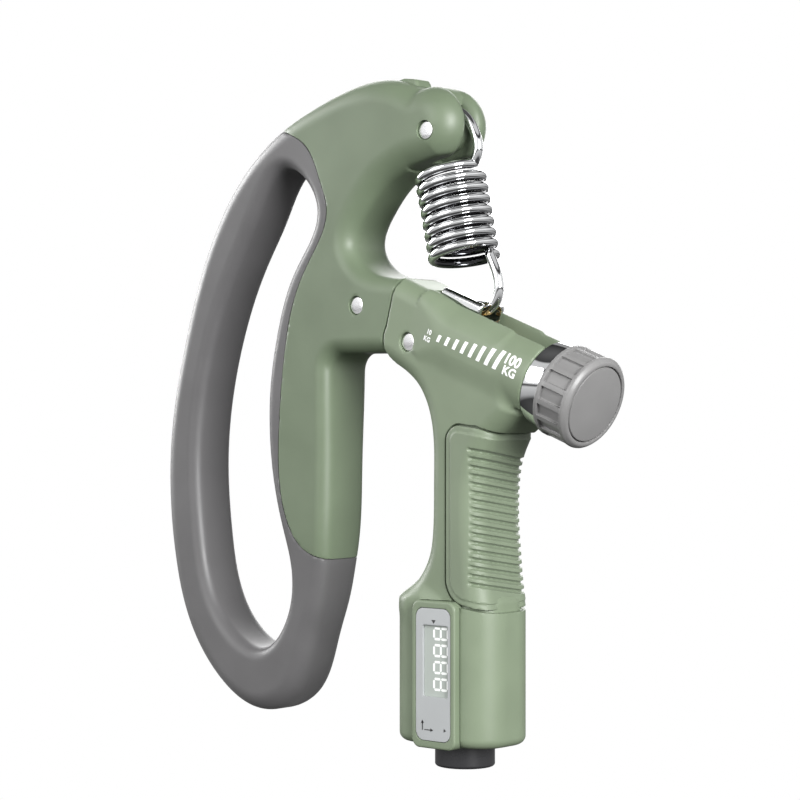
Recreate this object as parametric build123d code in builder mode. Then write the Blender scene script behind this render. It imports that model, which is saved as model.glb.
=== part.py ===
"""Adjustable hand dynamometer / grip trainer with a repetition counter.

+Z is up along the handle, +X points from the ring towards the load knob and -Y is the front face,
which carries the load scale and the counter window. The origin is on the handle's long axis, at the
middle of the palm grip. All sizes are in millimetres.
"""

import os
from math import asin, cos, degrees, radians, sin

from build123d import *

os.makedirs("parts", exist_ok=True)

# ---- driving dimensions ------------------------------------------------------------------------

# hinge between the ring arm and the handle, and the two other cross pins, as (X, Z)
PIVOT = (-10.9, 44.6)
LINK_PIN = (-28.6, 54.4)
HEAD_PIN = (-5.2, 98.2)
PIN_R = 2.3
PIN_HALF = 9.3
PIN_RECESS_R = 2.8

# ring arm
ARM_HALF = 10.2
RING_HALF = 7.6
RING_CORE = 3.4
HEAD_SLOT_HALF = 3.1
KNUCKLE_R = 8.0
PARTING_GAP = 0.45
TONGUE_HALF = 1.5
TONGUE_R = 6.6

# spring barrel of the handle: a tube that slopes down towards the knob
BARREL_TILT = 21.0
BARREL_START = (-10.75, 48.5)
BARREL_R = 11.1
BARREL_END = 40.2
SLOT_HALF = 5.7
SLOT_START = 2.2
SLOT_SHELF = 3.9
TROUGH_START = 9.3
TROUGH_FLOOR = -6.6
SLOT_TOP = 20.0
COLLAR_R = 10.8
COLLAR_BORE_R = 8.6
COLLAR_LEN = 4.9
KNOB_R = 11.8
KNOB_CORE_R = 11.1
KNOB_LEN = 10.0
KNOB_RIBS = 16
KNOB_CAP_R = 9.9
SCREW_R = 3.0
SCREW_START = 9.8
THREAD_CLEARANCE = 0.05

# carriage that pulls the lower end of the spring along the barrel
NUT_START = 9.7
NUT_LEN = 8.8
NUT_HALF = 3.9
NUT_TOP = 5.6
STIRRUP_START = 3.4
STIRRUP_LEN = 13.5
STIRRUP_HALF = 4.9
STIRRUP_TOP = 12.1
STIRRUP_FOOT = 4.3
STIRRUP_GAUGE = 1.0
STIRRUP_NOTCH = 3.4

# extension spring
WIRE_R = 1.28
COIL_R = 8.1
COIL_TURNS = 8
COIL_TOP = (-5.0, 88.3)
COIL_BOTTOM = (-0.1, 65.4)
BUSH_R = 4.5
UPPER_HOOK = [(4.2, 93.0), (3.0, 98.4), (-0.9, 103.0), (-5.2, 104.1), (-9.5, 102.4), (-11.4, 98.2)]
LOWER_HOOK = [(9.7, 63.4), (11.0, 59.0), (10.1, 54.9), (7.4, 52.5), (4.2, 52.7)]

# palm grip and counter housing
GRIP_HALF = 10.2
PAD_FRONT_X = 2.2
PAD_TOP = 23.2
PAD_BOTTOM = -21.6
PAD_RISE = 0.7
HOUSING_X = -0.9
HOUSING_HALF_X = 16.4
HOUSING_HALF_Y = 11.0
HOUSING_CORNER = 8.8
HOUSING_TOP = -19.5
HOUSING_BOTTOM = -57.7
HOUSING_WALL = 1.8
BEZEL_X = 0.2
BEZEL_HALF = 7.0
BEZEL_FACE = -13.0
BEZEL_BACK = -8.4
BEZEL_TOP = -22.2
BEZEL_BOTTOM = -57.6
PLATE_HALF = 5.6
PLATE_TOP = -23.4
PLATE_BOTTOM = -56.4
PLATE_THICK = 0.8
WINDOW_X = 0.9
WINDOW_HALF = 4.1
WINDOW_TOP = -28.0
WINDOW_BOTTOM = -46.0

# electronics behind the counter window
BOARD_FRONT = -7.8
BOARD_THICK = 1.0
CELL_R = 5.8
CELL_THICK = 4.6
CELL_Z = -33.0
SWITCH_BOTTOM = -46.5

# reset knob under the housing
CAP_R = 7.65
STEM_R = 2.6
STEM_TOP = -50.6
FLANGE_R = 3.6
CAP_TOP = -56.8
CAP_BOTTOM = -63.2
CAP_TRAVEL = 1.5
CAP_RECESS = 2.8

barrel_axis = (cos(radians(BARREL_TILT)), 0, -sin(radians(BARREL_TILT)))
BARREL = Plane(origin=(BARREL_START[0], 0, BARREL_START[1]), x_dir=(0, 1, 0), z_dir=barrel_axis)


def save(part, name):
    """Label one finished piece and write its STEP file."""
    part.label = name
    export_step(part, f"parts/{name}.step")


def spot(point):
    """A location in the XZ plane as a 3-D point."""
    return (point[0], 0, point[1])


# ---- outlines in the XZ plane ------------------------------------------------------------------

# seam between the hard arm and the soft ring, from the crown down to the arm's lower end
SEAM = [(-60.0, 102.8), (-47.8, 97.2), (-42.2, 87.2), (-39.8, 80.0), (-46.8, 65.4),
        (-53.2, 51.8), (-56.6, 32.5), (-57.9, 12.0), (-55.0, -2.4), (-50.0, -9.4), (-42.2, -12.6)]
CROWN = [(-60.0, 102.8), (-50.4, 107.1), (-37.8, 111.3), (-25.6, 113.4), (-15.6, 113.3)]
NECK = [(-12.6, 89.4), (-20.8, 86.4), (-29.0, 78.4), (-32.6, 70.4), (-28.6, 64.6), (-15.0, 61.2)]
ARM_SIDE = [(-40.4, 37.6), (-40.6, 24.0), (-40.9, 8.0), (-42.2, -12.6)]
RING_OUTSIDE = [(-60.0, 102.8), (-74.8, 91.6), (-88.6, 72.0), (-98.2, 46.0), (-103.6, 22.0), (-104.4, 6.0),
                (-102.2, -14.0), (-95.4, -34.0), (-84.0, -47.8), (-68.6, -54.8), (-54.6, -49.6),
                (-47.8, -35.0), (-44.0, -22.0), (-42.2, -12.6)]
FINGER_HOLE = [(-57.5, 92.2), (-48.6, 87.4), (-44.9, 79.4), (-52.0, 65.8), (-59.6, 48.0), (-63.0, 24.0),
               (-59.6, 0.0), (-56.4, -26.0), (-66.0, -37.5), (-81.2, -30.4), (-89.6, -8.0), (-91.2, 12.8),
               (-87.6, 38.0), (-77.6, 63.6), (-68.0, 80.0)]
RING_CENTRE = [(-46.0, 100.6), (-60.0, 96.6), (-74.8, 80.4), (-87.6, 60.1), (-96.0, 33.2), (-97.9, 12.8),
               (-95.5, -14.3), (-87.0, -36.0), (-71.0, -45.4), (-58.0, -41.0), (-50.2, -26.0), (-48.4, -4.0)]


def knuckle_point(angle, radius):
    """A point at the given angle and distance round the pivot."""
    return (PIVOT[0] + radius * cos(radians(angle)), PIVOT[1] + radius * sin(radians(angle)))


def draw_arm_profile():
    """Crown, head, neck, pivot lobe and forearm of the rigid arm, left of the parting line."""
    lobe_r = KNUCKLE_R + PARTING_GAP
    lobe_top = knuckle_point(150, lobe_r)
    lobe_low = knuckle_point(196, lobe_r + 0.5)
    with BuildSketch(Plane.XZ) as profile:
        with BuildLine():
            Spline(CROWN, tangents=[(1, 0.62), (1, 0)])
            Line(CROWN[-1], (-11.6, 109.8))
            ThreePointArc((-11.6, 109.8), (2.0, 103.4), (-3.0, 91.0))
            Line((-3.0, 91.0), NECK[0])
            Spline(NECK, tangents=[(-1, -0.2), (1, -0.36)])
            Line(NECK[-1], (-16.4, 55.4))
            Line((-16.4, 55.4), lobe_top)
            ThreePointArc(lobe_top, knuckle_point(173, lobe_r + 0.1), lobe_low)
            Line(lobe_low, (-35.8, 42.2))
            ThreePointArc((-35.8, 42.2), (-39.1, 40.8), ARM_SIDE[0])
            Spline(ARM_SIDE)
            Spline(SEAM[::-1])
        make_face()
    return profile.sketch


def draw_ring_profile():
    """The whole loop of the soft ring, closed through the arm, with its finger hole."""
    with BuildSketch(Plane.XZ) as profile:
        with BuildLine():
            Spline(RING_OUTSIDE)
            Spline([RING_OUTSIDE[-1], (-44.0, 24.0), (-38.0, 60.0), (-34.0, 84.0), (-42.0, 98.0), CROWN[0]])
        make_face()
        with BuildLine():
            Spline(FINGER_HOLE, periodic=True)
        make_face(mode=Mode.SUBTRACT)
    return profile.sketch


def draw_handle_profile():
    """Fork end, underside and palm grip of the handle, with the shoulders of the counter housing."""
    top_left = (-14.3, 61.0)
    fork_low = knuckle_point(212, KNUCKLE_R)
    barrel_top = (-6.0, 57.6)
    with BuildSketch(Plane.XZ) as profile:
        with BuildLine():
            Line(top_left, barrel_top)
            Line(barrel_top, (20.0, 47.0))
            Line((20.0, 47.0), (23.4, 26.0))
            Spline([(23.4, 26.0), (18.4, 22.2), (15.4, 19.8), (12.6, 14.6), (11.4, 7.0), (11.3, -1.0),
                    (12.0, -10.0), (12.8, -21.0)])
            Line((12.8, -21.0), (-15.8, -21.0))
            Spline([(-15.8, -21.0), (-10.6, -16.8), (-6.0, -10.0), (-4.6, -2.0), (-4.4, 10.0), (-5.6, 26.0),
                    (-9.6, 33.6), (-14.4, 37.4), fork_low])
            ThreePointArc(fork_low, knuckle_point(181, KNUCKLE_R), knuckle_point(150, KNUCKLE_R))
            Line(knuckle_point(150, KNUCKLE_R), (-15.9, 55.6))
            Line((-15.9, 55.6), top_left)
        make_face()
    return profile.sketch


ARM_PROFILE = draw_arm_profile()
RING_PROFILE = draw_ring_profile()
HANDLE_PROFILE = draw_handle_profile()


def rounded_extrusion(profile, half, radius):
    """A flat profile thickened both ways, with the long edges of its two faces rounded."""
    with BuildPart() as slab:
        extrude(profile, amount=half, both=True)
        faces = slab.faces().filter_by(Axis.Y).sort_by(Axis.Y)
        fillet(faces[0].edges() + faces[-1].edges(), radius=radius)
    return slab.part


def draw_pad_profile(grow, left, overrun):
    """Side view of the soft palm pad; grow moves its palm side out, overrun its top and bottom."""
    palm_side = [(15.9, 20.2), (13.2, 14.6), (12.0, 7.0), (11.9, -1.0), (12.6, -10.0), (13.4, PAD_BOTTOM)]
    bottom = PAD_BOTTOM - overrun
    with BuildSketch(Plane.XZ) as profile:
        with BuildLine():
            Spline([(x + grow, z) for x, z in palm_side])
            Polyline((13.4 + grow, PAD_BOTTOM), (13.2 + grow, bottom), (left + 4.0, bottom), (left, bottom + 4.0),
                     (left, PAD_TOP + overrun - 2.2), (left + 3.4, PAD_TOP + overrun),
                     (16.1 + grow, 20.2 + overrun), (15.9 + grow, 20.2))
        make_face()
    return profile.sketch


def draw_tongue_profile(grow):
    """Steel link plate: two round eyes, one on each pin, joined by straight flanks."""
    run_x = PIVOT[0] - LINK_PIN[0]
    run_z = PIVOT[1] - LINK_PIN[1]
    span = (run_x**2 + run_z**2) ** 0.5
    middle = ((PIVOT[0] + LINK_PIN[0]) / 2, (PIVOT[1] + LINK_PIN[1]) / 2)
    with BuildSketch(Plane.XZ) as profile:
        with Locations(middle):
            SlotOverall(span + 2 * TONGUE_R + 2 * grow, 2 * TONGUE_R + 2 * grow,
                        rotation=-degrees(asin(abs(run_z) / span)))
    return profile.sketch


def cross_pin(name, point, half):
    """A headless steel pin along Y with slightly domed, chamfered ends."""
    with BuildPart() as pin:
        with BuildSketch(Plane.XZ) as section:
            with Locations(point):
                Circle(PIN_R)
        extrude(amount=half, both=True)
        chamfer(pin.edges().filter_by(GeomType.CIRCLE), length=0.35)
    save(pin.part, name)


def pin_holes(point, plane_half):
    """The through hole of one cross pin and the wider shallow recess at each of its ends."""
    with BuildPart() as holes:
        with BuildSketch(Plane.XZ) as shaft:
            with Locations(point):
                Circle(PIN_R)
        extrude(amount=plane_half, both=True)
        for side in (-1, 1):
            with BuildSketch(Plane.XZ.offset(side * (PIN_HALF - 0.3))) as mouth:
                with Locations(point):
                    Circle(PIN_RECESS_R)
            extrude(amount=side * plane_half)
    return holes.part


# ---- ring arm ----------------------------------------------------------------------------------

TONGUE = draw_tongue_profile(0.0)

with BuildPart() as ring_bar:
    with BuildSketch(Plane.XZ) as bar_path:
        with BuildLine() as centre:
            Spline(RING_CENTRE)
        trace(centre.line, line_width=2 * RING_CORE)
    extrude(amount=RING_CORE, both=True)

with BuildPart() as magnet_seat:
    with BuildSketch(Plane.YZ.offset(-46.6)) as seat_section:
        with Locations((0, -5.0)):
            Circle(2.0)
    extrude(amount=3.0)

with BuildPart() as arm_core:
    add(rounded_extrusion(ARM_PROFILE, ARM_HALF, 4.2))
    # slot between the two cheeks of the head, open upwards, outwards and downwards
    with BuildSketch(Plane.XZ) as slot_area:
        with Locations((-0.8, 100.5)):
            Rectangle(24.0, 33.0)
    extrude(amount=HEAD_SLOT_HALF, both=True, mode=Mode.SUBTRACT)
    extrude(TONGUE, amount=TONGUE_HALF, both=True, mode=Mode.SUBTRACT)
    add(ring_bar.part)
    add(magnet_seat.part, mode=Mode.SUBTRACT)
    add(pin_holes(HEAD_PIN, 16), mode=Mode.SUBTRACT)
    add(pin_holes(LINK_PIN, 16), mode=Mode.SUBTRACT)
save(arm_core.part, "arm_core")

with BuildPart() as ring_grip:
    add(rounded_extrusion(RING_PROFILE, RING_HALF, 4.5))
    extrude(ARM_PROFILE, amount=2 * ARM_HALF, both=True, mode=Mode.SUBTRACT)
    # the sketch that closes the loop through the arm leaves loose slivers beyond it
    body = ring_grip.solids().sort_by(SortBy.VOLUME)[-1]
    add(body, mode=Mode.REPLACE)
    add(ring_bar.part, mode=Mode.SUBTRACT)
save(ring_grip.part, "ring_grip")

with BuildPart() as tongue_plate:
    extrude(TONGUE, amount=TONGUE_HALF, both=True)
    with BuildSketch(Plane.XZ) as eyes:
        with Locations(LINK_PIN):
            Circle(PIN_R)
        with Locations(PIVOT):
            Circle(PIN_R + 0.05)
    extrude(amount=10, both=True, mode=Mode.SUBTRACT)
save(tongue_plate.part, "tongue_plate")

save(magnet_seat.part, "count_magnet")
cross_pin("head_pin", HEAD_PIN, PIN_HALF)
cross_pin("link_pin", LINK_PIN, PIN_HALF)

with BuildPart() as spring_bush:
    with BuildSketch(Plane.XZ) as bush_section:
        with Locations(HEAD_PIN):
            Circle(BUSH_R)
            Circle(PIN_R, mode=Mode.SUBTRACT)
    extrude(amount=HEAD_SLOT_HALF - 0.2, both=True)
save(spring_bush.part, "spring_bush")

# ---- handle: body, palm pad and pivot pin --------------------------------------------------------

with BuildPart() as pad_core:
    extrude(draw_pad_profile(-1.5, -20.0, 6.0), amount=GRIP_HALF - 0.9, both=True)
    fillet(pad_core.edges().filter_by(GeomType.BSPLINE), radius=5.0)

with BuildPart() as grip_pad:
    extrude(draw_pad_profile(0.0, PAD_FRONT_X, 0.0), amount=GRIP_HALF + PAD_RISE, both=True)
    fillet(grip_pad.edges().filter_by(GeomType.BSPLINE), radius=5.5)
    add(pad_core.part, mode=Mode.SUBTRACT)
save(grip_pad.part, "grip_pad")

with BuildPart() as bezel_block:
    with BuildSketch(Plane.XZ.offset(-BEZEL_FACE)) as bezel_face:
        with Locations((BEZEL_X, (BEZEL_TOP + BEZEL_BOTTOM) / 2)):
            RectangleRounded(2 * BEZEL_HALF, BEZEL_TOP - BEZEL_BOTTOM, 2.2)
    extrude(amount=BEZEL_FACE - BEZEL_BACK)

cover_middle = (HOUSING_TOP + HOUSING_BOTTOM) / 2 + 4.0
with BuildPart() as battery_cover:
    with BuildSketch(Plane.XZ.offset(-HOUSING_HALF_Y)) as cover_face:
        with Locations((HOUSING_X, cover_middle)):
            RectangleRounded(14.0, 22.0, 2.0)
    extrude(amount=1.6)
    with BuildSketch(Plane.XZ.offset(-HOUSING_HALF_Y)) as cover_hole:
        with Locations((HOUSING_X, cover_middle - 8.4)):
            Circle(1.5)
    extrude(amount=1.6, mode=Mode.SUBTRACT)
save(battery_cover.part, "battery_cover")

with BuildPart() as cover_screw:
    with BuildSketch(Plane.XZ.offset(-HOUSING_HALF_Y)) as screw_head:
        with Locations((HOUSING_X, cover_middle - 8.4)):
            Circle(1.5)
    extrude(amount=1.6)
    with BuildSketch(Plane.XZ.offset(-HOUSING_HALF_Y + 1.6)) as screw_shank:
        with Locations((HOUSING_X, cover_middle - 8.4)):
            Circle(0.9)
    extrude(amount=3.4)
save(cover_screw.part, "cover_screw")

with BuildPart() as housing_shape:
    with BuildSketch(Plane.XY.offset(HOUSING_BOTTOM)) as housing_section:
        with Locations((HOUSING_X, 0)):
            RectangleRounded(2 * HOUSING_HALF_X, 2 * HOUSING_HALF_Y, HOUSING_CORNER)
    extrude(amount=HOUSING_TOP - HOUSING_BOTTOM)
    fillet(housing_shape.faces().sort_by(Axis.Z)[-1].edges(), radius=4.0)
    fillet(housing_shape.faces().sort_by(Axis.Z)[0].edges(), radius=2.2)

with BuildPart() as handle_body:
    add(rounded_extrusion(HANDLE_PROFILE, GRIP_HALF, 5.0))
    with BuildSketch(BARREL.offset(5.0)) as barrel_section:
        Circle(BARREL_R)
    extrude(amount=BARREL_END - 5.0)
    add(housing_shape.part)
    # slot for the stirrup, open along the top, and the deeper trough for the nut and the screw
    for start, floor in ((SLOT_START, SLOT_SHELF), (TROUGH_START, TROUGH_FLOOR)):
        with BuildSketch(BARREL.offset(start)) as trough_section:
            with Locations((0, (floor + SLOT_TOP) / 2)):
                Rectangle(2 * SLOT_HALF, SLOT_TOP - floor)
        extrude(amount=BARREL_END, mode=Mode.SUBTRACT)
    # fork slot in which the steel tongue swings
    with BuildSketch(Plane.XZ) as fork_slot:
        with Locations(PIVOT):
            Circle(TONGUE_R + 0.5)
        with Locations((PIVOT[0] - 8.0, PIVOT[1] + 1.6)):
            Rectangle(16.0, 19.8)
    extrude(draw_tongue_profile(0.4), amount=TONGUE_HALF + 0.3, both=True, mode=Mode.SUBTRACT)
    extrude(fork_slot.sketch, amount=TONGUE_HALF + 0.3, both=True, mode=Mode.SUBTRACT)
    add(pin_holes(PIVOT, 16), mode=Mode.SUBTRACT)
    # counter compartment, stem guide and reset-knob recess
    with BuildSketch(Plane.XY.offset(HOUSING_BOTTOM + CAP_RECESS + 1.8)) as compartment:
        with Locations((HOUSING_X, 0)):
            RectangleRounded(2 * (HOUSING_HALF_X - HOUSING_WALL), 2 * (HOUSING_HALF_Y - HOUSING_WALL), 7.0)
    extrude(amount=HOUSING_TOP - HOUSING_BOTTOM - CAP_RECESS - 6.5, mode=Mode.SUBTRACT)
    with BuildSketch(Plane.XY.offset(HOUSING_BOTTOM)) as recess:
        Circle(CAP_R + 0.35)
    extrude(amount=CAP_RECESS, mode=Mode.SUBTRACT)
    with BuildSketch(Plane.XY.offset(HOUSING_BOTTOM)) as guide:
        Circle(STEM_R + THREAD_CLEARANCE)
    extrude(amount=10, mode=Mode.SUBTRACT)
    add(bezel_block.part, mode=Mode.SUBTRACT)
    add(battery_cover.part, mode=Mode.SUBTRACT)
    add(cover_screw.part, mode=Mode.SUBTRACT)
    add(grip_pad.part, mode=Mode.SUBTRACT)
save(handle_body.part, "handle_body")

cross_pin("pivot_pin", PIVOT, PIN_HALF)

# ---- counter -------------------------------------------------------------------------------------

plate_middle = (BEZEL_X, (PLATE_TOP + PLATE_BOTTOM) / 2)
window_middle = (WINDOW_X, (WINDOW_TOP + WINDOW_BOTTOM) / 2)
window_height = WINDOW_TOP - WINDOW_BOTTOM
lcd_back = BEZEL_FACE + PLATE_THICK + 2.0

with BuildPart() as counter_bezel:
    add(bezel_block.part)
    with BuildSketch(Plane.XZ.offset(-BEZEL_FACE)) as plate_seat:
        with Locations(plate_middle):
            RectangleRounded(2 * PLATE_HALF, PLATE_TOP - PLATE_BOTTOM, 2.0)
    extrude(amount=-PLATE_THICK, mode=Mode.SUBTRACT)
    with BuildSketch(Plane.XZ.offset(-BEZEL_FACE)) as lcd_seat:
        with Locations(window_middle):
            Rectangle(2 * WINDOW_HALF + 1.2, window_height + 1.6)
    extrude(amount=-10, mode=Mode.SUBTRACT)
save(counter_bezel.part, "counter_bezel")

with BuildPart() as display_plate:
    with BuildSketch(Plane.XZ.offset(-BEZEL_FACE - 0.1)) as plate_outline:
        with Locations(plate_middle):
            RectangleRounded(2 * PLATE_HALF, PLATE_TOP - PLATE_BOTTOM, 2.0)
        with Locations(window_middle):
            RectangleRounded(2 * WINDOW_HALF, window_height, 0.6, mode=Mode.SUBTRACT)
    extrude(amount=0.1 - PLATE_THICK)
save(display_plate.part, "display_plate")

with BuildPart() as lcd_panel:
    with BuildSketch(Plane.XZ.offset(-BEZEL_FACE - PLATE_THICK)) as lcd_outline:
        with Locations(window_middle):
            Rectangle(2 * WINDOW_HALF + 1.2, window_height + 1.6)
    extrude(amount=-2.0)
save(lcd_panel.part, "lcd_panel")

with BuildPart() as contact_strips:
    with BuildSketch(Plane.XZ.offset(-lcd_back)) as strip_outline:
        with Locations((WINDOW_X - WINDOW_HALF + 0.6, window_middle[1]),
                       (WINDOW_X + WINDOW_HALF - 0.6, window_middle[1])):
            Rectangle(1.4, window_height - 2.0)
    extrude(amount=lcd_back - BOARD_FRONT)
save(contact_strips.part, "contact_strips")

with BuildPart() as circuit_board:
    with BuildSketch(Plane.XZ.offset(-BOARD_FRONT)) as board_outline:
        with Locations((BEZEL_X, -39.0)):
            Rectangle(15.0, 27.0)
    extrude(amount=-BOARD_THICK)
save(circuit_board.part, "circuit_board")

board_back = BOARD_FRONT + BOARD_THICK
with BuildPart() as battery_holder:
    with BuildSketch(Plane.XZ.offset(-board_back)) as holder_outline:
        with Locations((BEZEL_X, CELL_Z)):
            RectangleRounded(2 * CELL_R + 2.4, 2 * CELL_R + 2.4, 2.0)
    extrude(amount=-CELL_THICK - 0.8)
    with BuildSketch(Plane.XZ.offset(-board_back - 0.8)) as holder_pocket:
        with Locations((BEZEL_X, CELL_Z)):
            Circle(CELL_R)
    extrude(amount=-CELL_THICK, mode=Mode.SUBTRACT)
save(battery_holder.part, "battery_holder")

with BuildPart() as coin_cell:
    with BuildSketch(Plane.XZ.offset(-board_back - 0.8)) as cell_outline:
        with Locations((BEZEL_X, CELL_Z)):
            Circle(CELL_R)
    extrude(amount=-CELL_THICK)
    chamfer(coin_cell.edges().filter_by(GeomType.CIRCLE), length=0.3)
save(coin_cell.part, "coin_cell")

with BuildPart() as reed_switch:
    with BuildSketch(Plane.XY.offset(-40.0)) as reed_section:
        with Locations((HOUSING_X - 11.6, 0)):
            Circle(1.1)
    extrude(amount=12.0)
save(reed_switch.part, "reed_switch")

with BuildPart() as reset_switch:
    with BuildSketch(Plane.XY.offset(SWITCH_BOTTOM)) as switch_section:
        Rectangle(6.0, 6.0)
    extrude(amount=3.2)
    with BuildSketch(Plane.XY.offset(SWITCH_BOTTOM + 3.2)) as bracket_section:
        with Locations((0, (board_back + 3.0) / 2)):
            Rectangle(8.0, 3.0 - board_back)
    extrude(amount=0.8)
    with BuildSketch(Plane.XY.offset(SWITCH_BOTTOM)) as plunger_section:
        Circle(1.2)
    extrude(amount=STEM_TOP + CAP_TRAVEL + 0.1 - SWITCH_BOTTOM)
save(reset_switch.part, "reset_switch")

# ---- reset knob ----------------------------------------------------------------------------------

with BuildPart() as reset_stem:
    with BuildSketch(Plane.XY.offset(CAP_TOP)) as stem_section:
        Circle(STEM_R)
    extrude(amount=STEM_TOP - CAP_TOP)
    with BuildSketch(Plane.XY.offset(STEM_TOP - 1.0)) as flange_section:
        Circle(FLANGE_R)
    extrude(amount=1.0)
save(reset_stem.part, "reset_stem")

with BuildPart() as reset_spring:
    with BuildLine(Plane.XY.offset(STEM_TOP + 0.25)) as spring_path:
        Helix(pitch=0.9, height=SWITCH_BOTTOM - STEM_TOP - 0.5, radius=2.3)
    with BuildSketch(Plane(spring_path.line @ 0, z_dir=spring_path.line % 0)) as spring_wire:
        Circle(0.2)
    sweep(is_frenet=True)
save(reset_spring.part, "reset_spring")

with BuildPart() as reset_knob:
    with BuildSketch(Plane.XY.offset(CAP_BOTTOM)) as cap_section:
        Circle(CAP_R)
    extrude(amount=CAP_TOP - CAP_BOTTOM)
    fillet(reset_knob.faces().sort_by(Axis.Z)[0].edges(), radius=0.8)
save(reset_knob.part, "reset_knob")

# ---- load screw, knob and collar -----------------------------------------------------------------

with BuildPart() as chrome_collar:
    with BuildSketch(BARREL.offset(BARREL_END)) as collar_section:
        Circle(COLLAR_R)
        Circle(COLLAR_BORE_R, mode=Mode.SUBTRACT)
    extrude(amount=COLLAR_LEN)
save(chrome_collar.part, "chrome_collar")

with BuildPart() as screw_bearing:
    with BuildSketch(BARREL.offset(BARREL_END)) as bearing_section:
        Circle(COLLAR_BORE_R)
        Circle(SCREW_R + THREAD_CLEARANCE, mode=Mode.SUBTRACT)
    extrude(amount=COLLAR_LEN - 0.8)
save(screw_bearing.part, "screw_bearing")

knob_start = BARREL_END + COLLAR_LEN + 0.35
with BuildPart() as load_knob:
    with BuildSketch(BARREL.offset(knob_start)) as knob_section:
        Circle(KNOB_CORE_R)
    extrude(amount=KNOB_LEN)
    with BuildSketch(BARREL.offset(knob_start)) as rim_section:
        Circle(KNOB_R)
    extrude(amount=1.1)
    with BuildSketch(BARREL.offset(knob_start + KNOB_LEN - 2.2)) as front_rim_section:
        Circle(KNOB_R)
    extrude(amount=2.2)
    chamfer(load_knob.faces().sort_by(Axis.X)[-1].edges(), length=0.9)
    with BuildSketch(BARREL.offset(knob_start + 0.5)) as rib_section:
        with PolarLocations(KNOB_CORE_R, KNOB_RIBS):
            Rectangle(2 * (KNOB_R - KNOB_CORE_R) - 0.1, 1.3)
    extrude(amount=KNOB_LEN - 1.5)
    with BuildSketch(BARREL.offset(knob_start + KNOB_LEN - 1.2)) as disc_seat:
        Circle(KNOB_CAP_R)
    extrude(amount=4, mode=Mode.SUBTRACT)
    with BuildSketch(BARREL.offset(knob_start)) as knob_bore:
        Circle(SCREW_R)
    extrude(amount=KNOB_LEN - 3.0, mode=Mode.SUBTRACT)
save(load_knob.part, "load_knob")

with BuildPart() as knob_cap:
    with BuildSketch(BARREL.offset(knob_start + KNOB_LEN - 1.2)) as disc_section:
        Circle(KNOB_CAP_R - 0.15)
    extrude(amount=1.1)
save(knob_cap.part, "knob_cap")

with BuildPart() as load_screw:
    with BuildSketch(BARREL.offset(SCREW_START)) as screw_section:
        Circle(SCREW_R)
    extrude(amount=knob_start + KNOB_LEN - 3.0 - SCREW_START)
save(load_screw.part, "load_screw")

# ---- carriage ------------------------------------------------------------------------------------

with BuildPart() as carriage_nut:
    with BuildSketch(BARREL.offset(NUT_START)) as nut_section:
        with Locations((0, (TROUGH_FLOOR + 0.35 + NUT_TOP) / 2)):
            Rectangle(2 * NUT_HALF, NUT_TOP - TROUGH_FLOOR - 0.35)
        Circle(SCREW_R + THREAD_CLEARANCE, mode=Mode.SUBTRACT)
    extrude(amount=NUT_LEN)
save(carriage_nut.part, "carriage_nut")

with BuildPart() as carriage_stirrup:
    with BuildSketch(BARREL.offset(STIRRUP_START)) as stirrup_section:
        with Locations((0, (STIRRUP_TOP + STIRRUP_FOOT) / 2)):
            Rectangle(2 * STIRRUP_HALF, STIRRUP_TOP - STIRRUP_FOOT)
            Rectangle(2 * (STIRRUP_HALF - STIRRUP_GAUGE), STIRRUP_TOP - STIRRUP_FOOT, mode=Mode.SUBTRACT)
        with Locations((0, STIRRUP_TOP - STIRRUP_GAUGE / 2)):
            Rectangle(2 * STIRRUP_HALF, STIRRUP_GAUGE)
    extrude(amount=STIRRUP_LEN)
    # the web stops short of the cheeks, which lets the spring's hook in
    with BuildSketch(BARREL.offset(STIRRUP_START + STIRRUP_LEN - STIRRUP_NOTCH)) as notch_section:
        with Locations((0, STIRRUP_TOP)):
            Rectangle(2 * (STIRRUP_HALF - STIRRUP_GAUGE), 4.0)
    extrude(amount=STIRRUP_NOTCH, mode=Mode.SUBTRACT)
save(carriage_stirrup.part, "carriage_stirrup")

# ---- main spring ---------------------------------------------------------------------------------

coil_run = Vector(COIL_BOTTOM[0] - COIL_TOP[0], 0, COIL_BOTTOM[1] - COIL_TOP[1])
coil_up = coil_run.normalized() * -1
COIL = Plane(origin=spot(COIL_BOTTOM), x_dir=(coil_up.Z, 0, -coil_up.X), z_dir=coil_up)

with BuildPart() as main_spring:
    with BuildLine(COIL) as coil_path:
        Helix(pitch=coil_run.length / COIL_TURNS, height=coil_run.length, radius=COIL_R)
    with BuildSketch(Plane(coil_path.line @ 0, z_dir=coil_path.line % 0)) as coil_wire:
        Circle(WIRE_R)
    sweep(is_frenet=True)
    for coil_end, hook_points in ((coil_path.line @ 1, UPPER_HOOK), (coil_path.line @ 0, LOWER_HOOK)):
        with BuildLine() as hook_path:
            Spline([coil_end] + [spot(point) for point in hook_points])
        with BuildSketch(Plane(hook_path.line @ 0, z_dir=hook_path.line % 0)) as hook_wire:
            Circle(WIRE_R - 0.02)
        sweep()
save(main_spring.part, "main_spring")
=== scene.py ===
"""Looks of the adjustable hand dynamometer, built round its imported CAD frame.

Shapes are worked out in millimetres in the frame's own axes (+Z up the handle, +X from the finger ring
to the load knob, -Y the front face) and become metres when a mesh is made.
"""

import math

import bmesh
import bpy
import numpy as np
from mathutils import Matrix, Vector


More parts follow.
